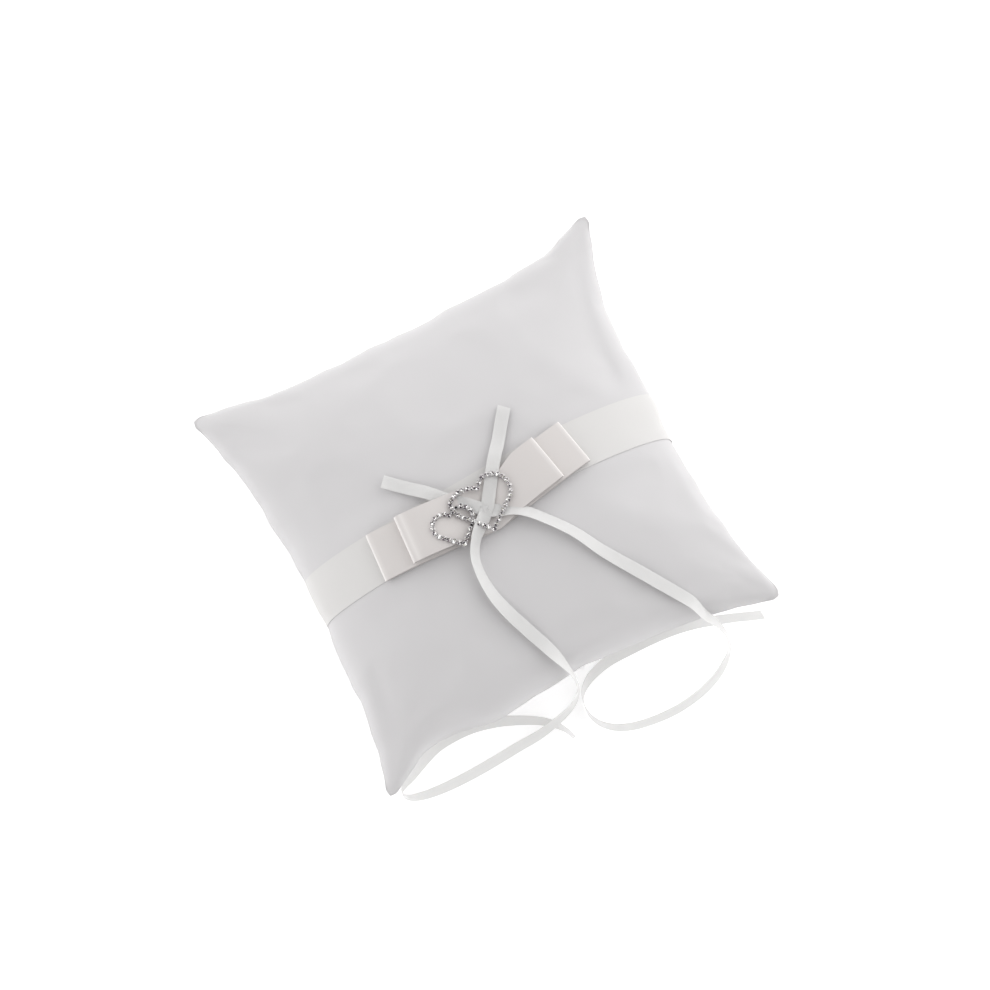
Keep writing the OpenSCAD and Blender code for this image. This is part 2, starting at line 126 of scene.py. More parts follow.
def strip(name, grid, thickness, material, closed=False, selvage=1.25):
    """A ribbon as a closed solid. grid has rows along the ribbon and columns across it."""
    grid = np.asarray(grid, float)
    rows, cols = grid.shape[:2]
    normal = grid_normals(grid, closed)
    t = np.linspace(-1, 1, cols)
    bead = 1 + (selvage - 1) * np.exp(-(((1 - np.abs(t)) / 0.06) ** 2))
    half = thickness / 2 * bead * np.where(np.abs(t) > 0.999, 0.55, 1)
    top = grid + normal * half[None, :, None]
    low = grid - normal * half[None, :, None]
    n = rows * cols
    faces = grid_faces(rows, cols, closed) + grid_faces(rows, cols, closed, start=n, flip=True)
    last = rows if closed else rows - 1
    for i in range(last):
        a, b = i * cols, ((i + 1) % rows) * cols
        faces.append((a, n + a, n + b, b))
        a, b = a + cols - 1, b + cols - 1
        faces.append((b, n + b, n + a, a))
    if not closed:
        for j in range(cols - 1):
            faces.append((j + 1, n + j + 1, n + j, j))
            a = (rows - 1) * cols + j
            faces.append((a, n + a, n + a + 1, a + 1))
    step = np.linalg.norm(np.diff(grid[:, cols // 2], axis=0), axis=1)
    along = np.concatenate([[0], np.cumsum(step)])
    width = np.linalg.norm(grid[0, -1] - grid[0, 0])
    uv = np.stack([
        np.broadcast_to(t * width / 2 * MM, (rows, cols)),
        np.broadcast_to(along[:, None] * MM, (rows, cols)),
    ], -1).reshape(-1, 2)
    return add_mesh(
        name,
        np.concatenate([top.reshape(-1, 3), low.reshape(-1, 3)]),
        faces,
        material,
        np.concatenate([uv, uv]),
        sharp=50,
    )


def smooth_line(points, spacing):
    """A smooth curve through points, as evenly spaced samples. Extra columns go along."""
    p = np.asarray(points, float)
    chord = np.maximum(np.linalg.norm(np.diff(p[:, :3], axis=0), axis=1), 1e-6) ** 0.5
    knot = np.concatenate([[0], np.cumsum(chord)])
    slope = np.zeros_like(p)
    for i in range(len(p)):
        a, b = max(i - 1, 0), min(i + 1, len(p) - 1)
        if 0 < i < len(p) - 1:
            d0, d1 = chord[i - 1], chord[i]
            s0, s1 = (p[i] - p[i - 1]) / d0, (p[i + 1] - p[i]) / d1
            slope[i] = (s0 * d1 + s1 * d0) / (d0 + d1)
        else:
            slope[i] = (p[b] - p[a]) / (knot[b] - knot[a])
    dense = []
    for i in range(len(p) - 1):
        d = chord[i]
        for t in np.linspace(0, 1, 24, endpoint=False):
            h = (2 * t**3 - 3 * t**2 + 1, t**3 - 2 * t**2 + t, -2 * t**3 + 3 * t**2, t**3 - t**2)
            dense.append(h[0] * p[i] + h[1] * d * slope[i] + h[2] * p[i + 1] + h[3] * d * slope[i + 1])
    dense = np.array(dense + [p[-1]])
    length = np.concatenate([[0], np.cumsum(np.linalg.norm(np.diff(dense[:, :3], axis=0), axis=1))])
    count = max(2, int(round(length[-1] / spacing)) + 1)
    at = np.linspace(0, length[-1], count)
    return np.stack([np.interp(at, length, dense[:, k]) for k in range(p.shape[1])], 1)


def blur(values, passes):
    """Averages each row with its neighbours, and keeps both ends."""
    v = np.array(values, float)
    for _ in range(passes):
        v[1:-1] = 0.25 * v[:-2] + 0.5 * v[1:-1] + 0.25 * v[2:]
    return v


def ring_faces(start, rings, sides, flip=False):
    """Quads between rings of points that follow each other, with a cap at both ends."""
    faces = []
    for i in range(rings - 1):
        for k in range(sides):
            a, b = start + i * sides + k, start + i * sides + (k + 1) % sides
            faces.append((a, b, b + sides, a + sides))
    end = start + (rings - 1) * sides
    faces.append(tuple(start + k for k in reversed(range(sides))))
    faces.append(tuple(end + k for k in range(sides)))
    return [(face[0], *face[:0:-1]) for face in faces] if flip else faces


def tube(name, lines, diameter, material, sides=6):
    """Round threads or wires along lines of points, as one piece."""
    points, faces = [], []
    for line in lines:
        line = np.asarray(line, float)
        tangent = unit(np.gradient(line, axis=0))
        side = unit(np.cross(tangent[0], [0.31, 0.17, 0.93]))
        start = len(points)
        for i, p in enumerate(line):
            side = unit(side - tangent[i] * np.dot(side, tangent[i]))
            other = np.cross(tangent[i], side)
            for k in range(sides):
                a = 2 * math.pi * k / sides
                points.append(p + diameter / 2 * (math.cos(a) * side + math.sin(a) * other))
        faces += ring_faces(start, len(line), sides)
    return add_mesh(name, points, faces, material, sharp=60)


# ---- materials

def new_material(name, **sockets):
    material = bpy.data.materials.new(name)
    material.use_nodes = True
    nodes, links = material.node_tree.nodes, material.node_tree.links
    shader = nodes["Principled BSDF"]
    for key, value in sockets.items():
        shader.inputs[key.replace("_", " ")].default_value = value
    return material, nodes, links, shader


def node(nodes, kind, **settings):
    n = nodes.new(kind)
    for key, value in settings.items():
        if hasattr(n, key):
            setattr(n, key, value)
        else:
            n.inputs[key.replace("_", " ")].default_value = value
    return n


def object_place(nodes):
    return nodes.new("ShaderNodeTexCoord").outputs["Object"]


def bumped(nodes, links, shader, height, strength, distance):
    bump = node(nodes, "ShaderNodeBump", Strength=strength, Distance=distance)
    links.new(height, bump.inputs["Height"])
    links.new(bump.outputs[0], shader.inputs["Normal"])


def ranged(nodes, links, value, low, high, target=None, most=1.0):
    """A value brought from 0 to most into the range low to high, for a socket if one is given."""
    scaled = node(nodes, "ShaderNodeMapRange", From_Max=most, To_Min=low, To_Max=high)
    links.new(value, scaled.inputs["Value"])
    if target:
        links.new(scaled.outputs[0], target)
    return scaled.outputs[0]


def mixed(nodes, links, factor, a, b):
    """A colour between a and b by a factor output."""
    mix = node(nodes, "ShaderNodeMix", data_type="RGBA")
    links.new(factor, mix.inputs[0])
    for socket, colour in ((mix.inputs[6], a), (mix.inputs[7], b)):
        if isinstance(colour, bpy.types.NodeSocket):
            links.new(colour, socket)
        else:
            socket.default_value = (*colour, 1)
    return mix.outputs[2]


def satin(name, tint, roughness=0.42, floats=0.00028, uv=False, sheen=0.15, cloudy=0.02, through=0.0,
          highlighted_folds=False):
    """Woven satin: long floats one way, faint cross threads, and slow changes of tone.
    through is how far light passes into it, and a ribbon with highlighted folds gets a painted highlight
    along its folds."""
    material, nodes, links, shader = new_material(
        name, Sheen_Weight=sheen, Sheen_Roughness=0.4, Anisotropic=0.35, Specular_IOR_Level=0.45,
        Subsurface_Weight=through, Subsurface_Scale=0.002, Subsurface_Radius=(1, 1, 1),
    )
    place = node(nodes, "ShaderNodeUVMap", uv_map="Strip").outputs[0] if uv else object_place(nodes)
    warp = node(nodes, "ShaderNodeTexWave", Scale=0.314 / floats, Distortion=1.2, Detail=2.0,
                Detail_Scale=1.5)
    weft = node(nodes, "ShaderNodeTexWave", bands_direction="Y", Scale=0.314 / floats / 2.6,
                Distortion=0.6)
    slub = node(nodes, "ShaderNodeTexNoise", Scale=1600.0, Detail=3.0)
    cloud = node(nodes, "ShaderNodeTexNoise", Scale=28.0, Detail=2.0)
    for n in (warp, weft, slub, cloud):
        links.new(place, n.inputs["Vector"])
    weave = node(nodes, "ShaderNodeMath", operation="MULTIPLY_ADD")
    links.new(weft.outputs["Fac"], weave.inputs[0])
    weave.inputs[1].default_value = 0.35
    links.new(warp.outputs["Fac"], weave.inputs[2])
    height = node(nodes, "ShaderNodeMath", operation="MULTIPLY_ADD")
    links.new(slub.outputs["Fac"], height.inputs[0])
    height.inputs[1].default_value = 0.5
    links.new(weave.outputs[0], height.inputs[2])
    bumped(nodes, links, shader, height.outputs[0], 0.22, 0.00003)
    light, dark = (tuple(c * (1 + s * cloudy) for c in tint) for s in (1, -1))
    tone = mixed(nodes, links, cloud.outputs["Fac"], dark, light)
    thread = ranged(nodes, links, height.outputs[0], 0.0, 0.3, most=1.85)
    shade = mixed(nodes, links, thread, tone, tuple(min(1, c * 1.15) for c in tint))
    # Painted highlight: the colour turns lighter along the folds by a value stored on the points, in place of
    # the satin's sheen where it bends over.
    if highlighted_folds:
        fold_highlight = node(nodes, "ShaderNodeAttribute", attribute_name="fold_highlight")
        shade = mixed(nodes, links, fold_highlight.outputs["Fac"], shade, FOLD_HIGHLIGHT_TINT)
    links.new(shade, shader.inputs["Base Color"])
    ranged(nodes, links, slub.outputs["Fac"], roughness - 0.03, roughness + 0.04, shader.inputs["Roughness"])
    return material


def thread_material(name, tint):
    material, nodes, links, shader = new_material(name, Roughness=0.6, Sheen_Weight=0.3)
    twist = node(nodes, "ShaderNodeTexWave", bands_direction="DIAGONAL", Scale=1100.0, Distortion=0.8)
    fuzz = node(nodes, "ShaderNodeTexNoise", Scale=5000.0, Detail=2.0)
    place = object_place(nodes)
    for n in (twist, fuzz):
        links.new(place, n.inputs["Vector"])
    bumped(nodes, links, shader, twist.outputs["Fac"], 0.5, 0.00005)
    colour = mixed(nodes, links, fuzz.outputs["Fac"], tuple(c * 0.9 for c in tint), tint)
    links.new(colour, shader.inputs["Base Color"])
    return material


# Colour of the painted highlight along the bow's folds.
FOLD_HIGHLIGHT_TINT = (0.93, 0.90, 0.88)
cover_satin = satin("cover_satin", (0.622, 0.610, 0.616), roughness=0.5)
band_satin = satin("band_satin", (0.67, 0.658, 0.648), roughness=0.42, uv=True)
# The bow's satin carries the painted highlight along its folds.
bow_satin = satin("bow_satin", (0.65, 0.618, 0.604), roughness=0.4, uv=True, highlighted_folds=True)
narrow_satin = satin(
    "narrow_satin", (0.71, 0.704, 0.694), roughness=0.4, floats=0.0002, uv=True, through=0.5
)
white_thread = thread_material("white_thread", (0.84, 0.83, 0.82))


# ---- cushion

HALF = 100
CROWN = 62
SEAM = 26
SIDE_PULL = 11
TIP_ROUND = 1.3
TIP_RADIUS = 3.4     # the visible tips are rounder than the solid's
TIP_WIDEN = 0.12     # and a little wider just behind their ends
TIP_REACH = 22       # how far in from the tip that goes
TIP_SLOPE = math.radians(23.5)  # half the angle between the sides that meet at a tip
BAND_Y = -4
BAND_SLOPE = 0.0267  # the band lies slightly across the cushion
BAND_WIDTH = 23
CELLS = 80


def across(u, v):
    pull = 1 - np.abs(v) ** 4
    return u * (HALF + TIP_ROUND - SIDE_PULL * pull)


# The sides aren't drawn in evenly: place along the side, reach and amount of each change.
NEAR_CHANGES = ((-0.74, 0.22, 5.2), (-0.42, 0.12, -2.6), (0.06, 0.2, 1.4), (0.72, 0.14, -1.4))
FAR_CHANGES = ((0.8, 0.15, -1.6),)
LEFT_CHANGES = ((-0.5, 0.5, -3.4), (0.6, 0.4, -2.8))
RIGHT_CHANGES = ((-0.3, 0.35, -1.9), (0.5, 0.15, -1.3))


def side_change(along, away, changes):
    """How far a side is moved at a place along it. away is 0 in the middle and 1 at that side."""
    change = sum(
        amount * np.exp(-(((along - place) / reach) ** 2)) for place, reach, amount in changes
    )
    return np.clip(away, 0, 1) ** 4 * change


def swell(u, v):
    s = (1 - np.abs(u) ** 2.6) * (1 - np.abs(v) ** 2.6)
    return np.maximum(s, 0) ** 0.55


def band_centre(x):
    return BAND_Y + BAND_SLOPE * x


# Where each corner tip is moved from its even place: corner, shift, and how close to the tip it stays
TIPS = (
    ((-1, 1), (-4.4, 1.2, -6), 4),
    ((1, 1), (5.7, 3.7, 3), 4),
    ((1, -1), (-0.8, -3.1, 5), 4),
    ((-1, -1), (-4.7, -4.6, 0), 6),
)


def rounded_tips(x, y):
    """Rounds the four pointed tips of the outline, and draws what lies inside them back."""
    apex = HALF + TIP_ROUND
    sx, sy = np.sign(x), np.sign(y)
    a, b = apex - np.abs(x), apex - np.abs(y)
    depth, side = (a + b) / math.sqrt(2), (a - b) / math.sqrt(2)
    back_by = TIP_RADIUS * (1 / math.sin(TIP_SLOPE) - 1)
    near = np.clip(1 - depth / TIP_REACH, 0, 1)
    new_depth = depth + back_by * near**2
    wedge = np.maximum(depth * math.tan(TIP_SLOPE), 1e-6)
    centre = TIP_RADIUS / math.sin(TIP_SLOPE)
    touch = centre - TIP_RADIUS * math.sin(TIP_SLOPE)
    arc = np.sqrt(np.maximum(TIP_RADIUS**2 - (new_depth - centre) ** 2, 0))
    width = np.where(new_depth < touch, arc, new_depth * math.tan(TIP_SLOPE))
    widen = 1 + TIP_WIDEN * ease(near / 0.45)
    new_side = np.where(near > 0, side * widen * width / wedge, side)
    new_side = np.where(depth < 1e-6, 0, new_side)
    a, b = (new_depth + new_side) / math.sqrt(2), (new_depth - new_side) / math.sqrt(2)
    return np.where(near > 0, sx * (apex - a), x), np.where(near > 0, sy * (apex - b), y)


# The grid's lines stand closer together towards the sides.
line = np.linspace(-1, 1, CELLS + 1)
line = 0.65 * line + 0.35 * np.sin(line * math.pi / 2)
U, V = np.meshgrid(line, line, indexing="ij")


def panel(face):
    """One fabric panel as a grid of points: face is 1 for the front and -1 for the back."""
    w = swell(U, V)
    z = SEAM + (CROWN - SEAM) * w if face > 0 else SEAM - (SEAM + 4) * w
    p = np.stack([*rounded_tips(across(U, V), across(V, U)), z], -1)
    p[..., 0] += (side_change(V, -U, LEFT_CHANGES) + side_change(V, U, RIGHT_CHANGES)) * (1 - V**6)
    p[..., 1] += side_change(U, -V, NEAR_CHANGES) + side_change(U, V, FAR_CHANGES)
    for (sx, sy), shift, closeness in TIPS:
        near = (np.clip(sx * U, 0, 1) * np.clip(sy * V, 0, 1)) ** closeness
        p += near[..., None] * np.array(shift)
    # The seam isn't dead straight: it wanders by half a millimetre or so.
    edge = np.maximum(np.abs(U), np.abs(V))
    fade = np.exp(-(1 - edge) * 95 / 9)
    along = np.where(np.abs(U) > np.abs(V), p[..., 1], p[..., 0])
    side = np.where(np.abs(U) > np.abs(V), np.where(U > 0, 0, 1.7), np.where(V > 0, 3.1, 4.9))
    wander = (
        0.35 * np.sin(along / 37 * 2 * math.pi + side)
        + 0.26 * np.sin(along / 21 * 2 * math.pi + 2.2 * side)
        + 0.14 * np.sin(along / 12.5 * 2 * math.pi + 0.7 * side)
    )
    corner = 1 - np.clip((np.minimum(np.abs(U), np.abs(V)) - 0.82) / 0.15, 0, 1)
    push = fade * wander * corner * np.where((V < 0) & (np.abs(V) >= np.abs(U)), 0.4, 1)
    p[..., 0] += np.where(np.abs(U) > np.abs(V), np.sign(U) * push, 0)
    p[..., 1] += np.where(np.abs(U) > np.abs(V), 0, np.sign(V) * push)
    p[..., 2] += 1.3 * fade * np.sin(along / 58 * 2 * math.pi + 1.3 * side) * corner
    return p


CLOTH_CUT = 101.5    # half the side that the panels are cut to, a little more than they lie
CLOTH_STEPS = 22
MOST_MOVED = 4       # the movement levels off at this
KEPT_BROAD = 0.25    # share of the broad movement that is kept, with all of the wrinkles
KEPT_UNDER_BAND = 0.25


def simulate(front, rear):
    """Blows the two sewn panels up as cloth, and returns how far each point moves."""
    big = 10.0  # the solver is steadier on a cushion ten times as large
    n = CELLS + 1
    rim = np.zeros((n, n), bool)
    rim[[0, -1], :] = rim[:, [0, -1]] = True
    index = np.arange(n * n).reshape(n, n)
    rear_index = np.where(rim, index, 0)
    rear_index[~rim] = n * n + np.arange((~rim).sum())
    points = np.concatenate([front.reshape(-1, 3), rear[~rim]]) * MM * big
    flat = np.stack([U, V, 0 * U], -1) * CLOTH_CUT
    flat = np.concatenate([flat.reshape(-1, 3), flat[~rim]]) * MM * big
    faces = []
    for i in range(n - 1):
        for j in range(n - 1):
            ring = ((i, j), (i + 1, j), (i + 1, j + 1), (i, j + 1))
            faces.append([int(index[c]) for c in ring])
            faces.append([int(rear_index[c]) for c in reversed(ring)])
    mesh = bpy.data.meshes.new("cloth")
    mesh.from_pydata(points.tolist(), [], faces)
    cloth = bpy.data.objects.new("cloth", mesh)
    scene.collection.objects.link(cloth)
    cloth.shape_key_add(name="Basis")
    cut = cloth.shape_key_add(name="cut")
    cut.data.foreach_set("co", flat.ravel())
    cut.value = 0
    modifier = cloth.modifiers.new("cloth", "CLOTH")
    s = modifier.settings
    s.rest_shape_key = cut
    s.quality = 10
    s.mass = 0.15
    s.tension_stiffness = s.compression_stiffness = 40
    s.shear_stiffness = 20
    s.bending_stiffness = 1.5
    s.tension_damping = s.compression_damping = s.shear_damping = 5
    s.bending_damping = 0.5
    s.air_damping = 2
    s.use_pressure = True
    s.uniform_pressure_force = 0
    s.use_pressure_volume = True
    s.target_volume = 1.3
    s.pressure_factor = 30
    s.effector_weights.gravity = 0
    modifier.collision_settings.use_collision = False
    modifier.point_cache.frame_end = CLOTH_STEPS
    for step in range(1, CLOTH_STEPS + 1):
        scene.frame_set(step)
    shaped = cloth.evaluated_get(bpy.context.evaluated_depsgraph_get())
    moved = np.zeros(len(mesh.vertices) * 3)
    shaped.data.vertices.foreach_get("co", moved)
    moved = moved.reshape(-1, 3) / big / MM - points / big / MM
    scene.frame_set(1)
    bpy.data.objects.remove(cloth)
    bpy.data.meshes.remove(mesh)
    size = np.linalg.norm(moved, axis=1, keepdims=True)
    moved *= MOST_MOVED * np.tanh(size / MOST_MOVED) / np.maximum(size, 1e-9)
    front_move = moved[: n * n].reshape(n, n, 3)
    rear_move = front_move.copy()
    rear_move[~rim] = moved[n * n:]
    return front_move, rear_move


def slow_part(move, passes=60):
    """The broad part of a grid of movements, without its wrinkles."""
    v = move.copy()
    for _ in range(passes):
        v[1:-1] = 0.25 * v[:-2] + 0.5 * v[1:-1] + 0.25 * v[2:]
        v[:, 1:-1] = 0.25 * v[:, :-2] + 0.5 * v[:, 1:-1] + 0.25 * v[:, 2:]
    return v


front_grid, rear_grid = panel(1), panel(-1)
front_move, rear_move = simulate(front_grid, rear_grid)
on_rim = np.zeros((CELLS + 1, CELLS + 1, 1))
on_rim[[0, -1], :] = on_rim[:, [0, -1]] = 1
front_slow, rear_slow = slow_part(front_move), slow_part(rear_move)
front_change = front_move - front_slow + KEPT_BROAD * front_slow
rear_change = rear_move - rear_slow + KEPT_BROAD * rear_slow
# Under the taut band the crown stays even.
calm = np.clip((np.abs(front_grid[..., 1] - band_centre(front_grid[..., 0])) - 10) / 16, 0, 1)
calm = ease(calm)[..., None]
front_grid += front_change * np.maximum(calm, KEPT_UNDER_BAND)
rear_grid += lerp(rear_change, front_change, on_rim) * np.maximum(calm, KEPT_UNDER_BAND)
shared = on_rim[..., 0] > 0
rear_grid[shared] = front_grid[shared]


def refined(grid):
    """Points and faces of the grid after one step of smooth subdivision."""
    n = len(grid)
    mesh = bpy.data.meshes.new("panel")
    mesh.from_pydata(grid.reshape(-1, 3).tolist(), [], grid_faces(n, n))
    holder = bpy.data.objects.new("panel", mesh)
    scene.collection.objects.link(holder)
    smooth = holder.modifiers.new("smooth", "SUBSURF")
    smooth.levels = 1
    smooth.boundary_smooth = "PRESERVE_CORNERS"
    result = holder.evaluated_get(bpy.context.evaluated_depsgraph_get()).to_mesh()
    points = np.zeros(len(result.vertices) * 3)
    result.vertices.foreach_get("co", points)
    faces = [tuple(p.vertices) for p in result.polygons]
    bpy.data.objects.remove(holder)
    bpy.data.meshes.remove(mesh)
    return points.reshape(-1, 3), faces


front_points, front_faces = refined(front_grid)
rear_points, rear_faces = refined(rear_grid)
rear_faces = [face[::-1] for face in rear_faces]

# The rear rests flat, and is pressed in where the band passes under it.
GROOVE_DEPTH = 0.9


def groove(points, beside):
    """How far the band presses the rear in. beside is how far that reaches past the band's edge."""
    off = np.abs(points[..., 1] - band_centre(points[..., 0]))
    return GROOVE_DEPTH * ease((BAND_WIDTH / 2 + beside - off) / 2.4)


REST_EASE = 1.5      # height over the floor below which the rear is brought down to it
rest = groove(rear_points, 3)
gap = rear_points[:, 2] - rest
settled = rest + np.clip(gap, 0, REST_EASE) ** 2 / (4 * REST_EASE)
rear_points[:, 2] = np.where(gap < REST_EASE, settled, rear_points[:, 2])


def cover(name, points, faces, thickness):
    """A fabric panel with its thickness inside."""
    piece = add_mesh(name, points, faces, cover_satin, sharp=0)
    wall = piece.modifiers.new("wall", "SOLIDIFY")
    wall.thickness = thickness * MM
    wall.offset = -1
    wall.use_even_offset = False
    solid = bpy.data.meshes.new_from_object(piece.evaluated_get(bpy.context.evaluated_depsgraph_get()))
    piece.modifiers.clear()
    old = piece.data
    piece.data = solid
    bpy.data.meshes.remove(old)
    solid.name = name
    return piece


front_cover = cover("cushion_front", front_points, front_faces, 0.5)
rear_cover = cover("cushion_back", rear_points, rear_faces, 0.5)


def mesh_arrays(piece):
    co = np.zeros(len(piece.data.vertices) * 3)
    piece.data.vertices.foreach_get("co", co)
    return co.reshape(-1, 3) / MM, [tuple(p.vertices) for p in piece.data.polygons]


def tree_of(*arrays):
    points, faces, start = [], [], 0
    for p, f in arrays:
        points.append(p)
        faces += [tuple(k + start for k in face) for face in f]
        start += len(p)
    return BVHTree.FromPolygons([Vector(p) for p in np.concatenate(points)], faces)


def height_on(tree, x, y, missing=SEAM):
    """Height of the topmost surface at a place."""
    hit = tree.ray_cast(Vector((x, y, 200)), Vector((0, 0, -1)))[0]
    return hit.z if hit else missing


panels = ((front_points, front_faces), (rear_points, rear_faces))
cushion_tree = tree_of(*panels)


# ---- centre band

def band_section(y_shift, samples=260):
    """Points and outward directions round the cushion along a line across the band."""
    ring = []
    for k in range(samples):
        # The samples start under the cushion, where the band's ends overlap.
        a = -math.pi / 2 - 2 * math.pi * k / samples
        # The section is flat, so the angle is stretched to space them evenly.
        d = Vector((math.cos(a), 0, math.sin(a) * 0.42)).normalized()
        y = band_centre(0) + y_shift + BAND_SLOPE * d.x * 90
        axis = Vector((0, y, 27))
        hit, normal, _, _ = cushion_tree.ray_cast(axis + d * 300, -d)
        ring.append((tuple(hit), tuple(normal)))
    return np.array(ring)


BAND_COLUMNS = 13
shifts = np.linspace(-BAND_WIDTH / 2, BAND_WIDTH / 2, BAND_COLUMNS)
columns = [band_section(s) for s in shifts]
band_points = np.stack([c[:, 0] for c in columns], 1)
band_outward = np.stack([c[:, 1] for c in columns], 1)


def ring_blur(values, passes):
    for _ in range(passes):
        values = 0.25 * np.roll(values, 1, 0) + 0.5 * values + 0.25 * np.roll(values, -1, 0)
    return values


band_points[..., 0] = ring_blur(band_points[..., 0], 3)
band_points[..., 2] = ring_blur(band_points[..., 2], 3)
band_outward = unit(ring_blur(band_outward, 4))
BAND_T = 0.3
band_grid = band_points + band_outward * (0.12 + BAND_T / 2)
under = band_grid[..., 2] < 3
band_grid[..., 2] = np.where(under, np.maximum(band_grid[..., 2], 0.52), band_grid[..., 2])
# One end runs 12 mm on over the other, where they are sewn together.
overlap = 5
tail = band_grid[:overlap].copy()
tail[..., 2] -= 0.34 * ease(np.arange(overlap) / 2)[:, None]
band_strip = np.concatenate([band_grid, tail])
band = strip("centre_band_satin", band_strip, BAND_T, band_satin, selvage=1.15)

covered_tree = tree_of(*panels, mesh_arrays(band))


# ---- bow

BOW = (-6, -10.5)
LEFT_OUTER, RIGHT_OUTER = 55, 51
LEFT_INNER, RIGHT_INNER = 40.7, 36
LEFT_TURN, RIGHT_TURN = 176, 11.5
PINCHED, LOOP_RISE = 0.5, 1.8
LEFT_INNER_RISE = 3      # the inner loop on the left stands fuller than the others
INNER_SHIFT = 0.9        # and the inner loops lie a little towards the far side
FOLD_HIGHLIGHT_REACH = 0.75
# How far the painted highlight reaches in from each fold, in millimetres.
BOW_T = 0.3
OUTER_LIFT = 1.15
INNER_GAP = 0.55


def spread(s, length, rise=LOOP_RISE):
    return PINCHED + (rise - PINCHED) * ease(s / (length - rise / 2))


def half_tier(length, outer_length, inner, puff, rise):
    """One half of a tier in its own plane: distance from the root, height over the crown."""
    r = rise / 2
    reach = length - r
    run = np.linspace(0, reach, max(8, int(reach / 1.6)))

    def lower(s):
        if not inner:
            return OUTER_LIFT
        arch = puff * np.sin(np.clip(s / outer_length, 0, 1) * math.pi)
        return OUTER_LIFT + spread(s, outer_length) + INNER_GAP + arch

    low = [(s, lower(s)) for s in run]
    arch = puff * np.sin(run / reach * math.pi)
    top = [(s, lower(s) + spread(s, length, rise) + a) for s, a in zip(run, arch)]
    fold = [
        (reach + r * 0.8 * math.cos(math.radians(a)), lower(reach) + r + r * math.sin(math.radians(a)))
        for a in range(-72, 90, 18)
    ]
    return np.array(low + fold + top[::-1], float)


def tier(name, left, right, inner, puff):
    """A flattened ring of ribbon with a fold at each end, drawn together in the middle."""
    halves = []
    for length, outer_length, turn in ((right, RIGHT_OUTER, RIGHT_TURN), (left, LEFT_OUTER, LEFT_TURN)):
        fuller = inner and length == left
        path = half_tier(length, outer_length, inner, puff, LEFT_INNER_RISE if fuller else LOOP_RISE)
        a = math.radians(turn)
        x = BOW[0] + path[:, 0] * math.cos(a)
        y = BOW[1] + path[:, 0] * math.sin(a)
        if inner:
            y += INNER_SHIFT * ease(path[:, 0] / 12)
        # Painted highlight along each fold; on the fuller loop a second, weaker painted highlight lies 3.4 mm
        # in from the fold.
        fold_highlight = np.exp(-(((length - path[:, 0]) / FOLD_HIGHLIGHT_REACH) ** 2))
        if fuller:
            fold_highlight += 0.4 * np.exp(-(((length - path[:, 0] - 3.4) / 1.2) ** 2))
        halves.append(np.stack([x, y, path[:, 1], path[:, 0], fold_highlight], 1))
    loop = np.concatenate([halves[0], halves[1][::-1]])
    slant_right = math.radians(RIGHT_TURN)
    slant_left = math.radians(LEFT_TURN - 180)
    # The turn changes over within a few millimetres of the middle.
    signed = np.where(np.arange(len(loop)) < len(halves[0]), loop[:, 3], -loop[:, 3])
    slant = lerp(slant_left, slant_right, ease((signed + 7) / 14))
    cols = 11
    grid = np.zeros((len(loop), cols, 3))
    # Towards its root the far edge of the inner loop on the right is drawn in and tucked down.
    drawn = ease((26 - np.abs(signed)) / 18) * ease((signed - 1) / 6) if inner else 0 * signed
    for j, q in enumerate(np.linspace(-1, 1, cols)):
        reach = q * BAND_WIDTH / 2 * (1 - 0.32 * drawn * max(q, 0))
        x = loop[:, 0] - np.sin(slant) * reach
        y = loop[:, 1] + np.cos(slant) * reach
        base = np.array([height_on(covered_tree, a, b) for a, b in zip(x, y)])
        centre = np.array([height_on(cushion_tree, a, b) for a, b in zip(loop[:, 0], loop[:, 1])])
        # The ribbon is stiffer than the cushion, so it only half follows the fall of the crown.
        z = lerp(centre, np.minimum(base, centre + 0.5), 0.7) + loop[:, 2] - 0.5 * drawn * max(q, 0) ** 2
        grid[:, j] = np.stack([x, y, z], 1)
    piece = strip(name, grid, BOW_T, bow_satin, closed=True, selvage=1.1)
    # The painted fold highlight is stored on the points for the material.
    highlight_values = piece.data.attributes.new("fold_highlight", "FLOAT", "POINT")
    highlight_values.data.foreach_set("value", np.tile(np.repeat(loop[:, 4], cols), 2).astype(np.float32))
    return piece


bow_outer = tier("bow_outer_satin", LEFT_OUTER, RIGHT_OUTER, False, 0.35)
bow_inner = tier("bow_inner_satin", LEFT_INNER, RIGHT_INNER, True, 0.5)

# ---- ring ribbons

RIBBON_W = 6
RIBBON_T = 0.28
